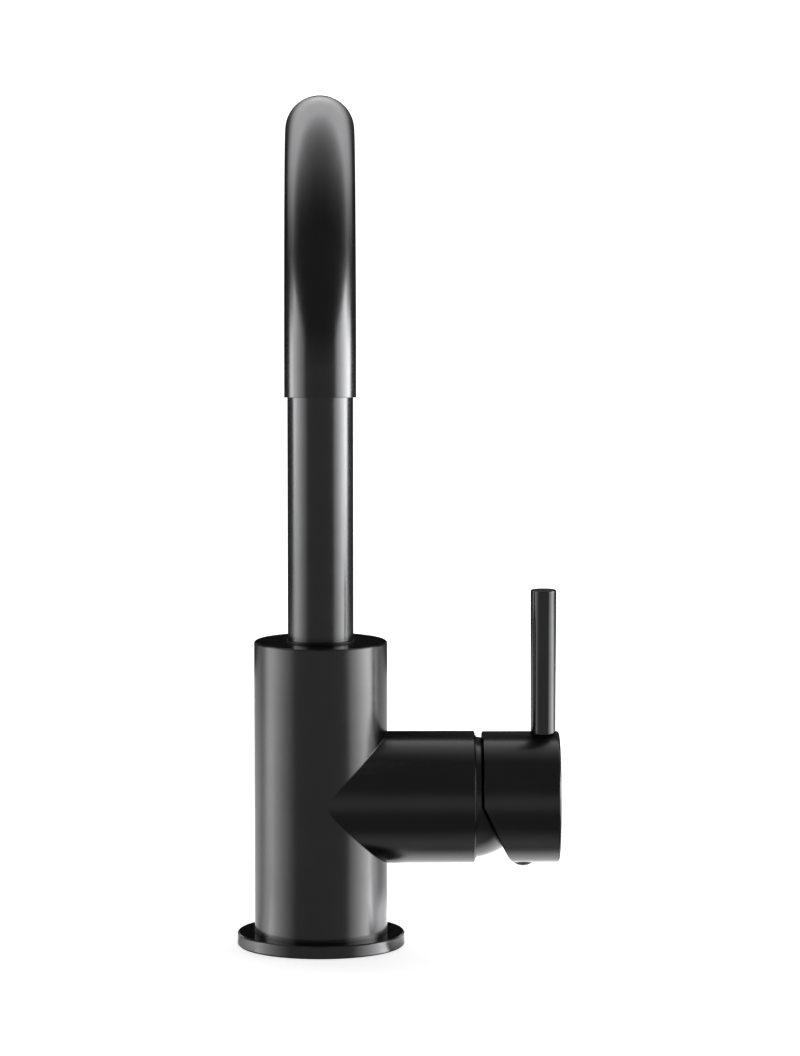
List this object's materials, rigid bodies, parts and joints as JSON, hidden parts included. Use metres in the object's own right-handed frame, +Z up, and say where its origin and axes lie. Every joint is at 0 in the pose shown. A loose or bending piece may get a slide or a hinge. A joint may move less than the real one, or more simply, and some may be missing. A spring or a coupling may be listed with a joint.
{
  "type": "gooseneck basin mixer",
  "caption": "Single-lever basin mixer: round column, swivelling gooseneck spout, and a side housing whose cut round handle carries a thin upright lever.",
  "frame": {"origin": "centre of the underside, on the deck or basin it stands on", "axes": "+Z up along the column, -Y towards the basin under the spout, +X towards the side lever"},
  "size_m": [0.1092, 0.191, 0.29],
  "materials": {
    "satin_black_column": "brass with a satin gunmetal black coating, finely brushed",
    "satin_black_flange": "brass with a satin gunmetal black coating, brushed edge",
    "satin_black_spout": "brass tube with a satin gunmetal black coating",
    "satin_black_dome": "brass with a satin gunmetal black coating",
    "satin_black_handle": "brass with a satin gunmetal black coating",
    "satin_black_lever": "brass bar with a satin gunmetal black coating",
    "plain_brass": "machined",
    "steel": "plain stainless",
    "ceramic_disc": "lapped",
    "seal_rubber": "matt",
    "black_plastic": "moulded",
    "grille_plastic": "moulded",
    "white_plastic": "moulded",
    "grey_plastic": "moulded",
    "blue_plastic": "moulded"
  },
  "bodies": {
    "mixer_body": {"body": "satin_black_column", "base_flange": "satin_black_flange", "base_seal": "seal_rubber", "upper_glide_ring": "black_plastic", "lower_glide_ring": "white_plastic", "spout_retaining_screw": "steel", "cartridge_base": "grey_plastic", "cartridge_port_seals": "seal_rubber", "cartridge_shell": "white_plastic", "retaining_nut": "plain_brass", "fixed_disc": "ceramic_disc", "dome_cover": "satin_black_dome"},
    "spout": {"spout_tube": "satin_black_spout", "spout_spigot": "plain_brass", "upper_spout_seal": "seal_rubber", "lower_spout_seal": "seal_rubber", "aerator_bush": "plain_brass", "aerator_washer": "seal_rubber", "aerator_cage": "black_plastic", "aerator_grille": "grille_plastic", "aerator_diffuser": "white_plastic", "aerator_screen": "steel"},
    "cartridge_rotor": {"rotor": "white_plastic", "rotor_seal": "seal_rubber", "spindle_pin": "steel"},
    "lever_handle": {"spindle": "plain_brass", "handle": "satin_black_handle", "lever": "satin_black_lever", "handle_grub_screw": "steel", "handle_screw_plug": "black_plastic"},
    "valve_slide": {"moving_disc": "ceramic_disc", "disc_driver": "blue_plastic"}
  },
  "joints": [
    {"name": "spout_swivel", "type": "hinge", "parent": "mixer_body", "child": "spout", "pos_m": [0, 0, 0.08], "axis": [0, 0, 1], "continuous": true},
    {"name": "temperature_turn", "type": "hinge", "parent": "mixer_body", "child": "cartridge_rotor", "pos_m": [0.05, 0, 0.0504], "axis": [1, 0, 0], "range_deg": [-50, 50]},
    {"name": "flow_tilt", "type": "hinge", "parent": "cartridge_rotor", "child": "lever_handle", "pos_m": [0.05, 0, 0.0504], "axis": [0, 1, 0], "range_deg": [0, 25]},
    {"name": "disc_shift", "type": "slide", "parent": "cartridge_rotor", "child": "valve_slide", "axis": [0, 0, 1], "range_m": [0, 0.005]}
  ],
  "couplings": [
    {"joint": "disc_shift", "follows": "flow_tilt", "m_per_rad": 0.0113}
  ]
}
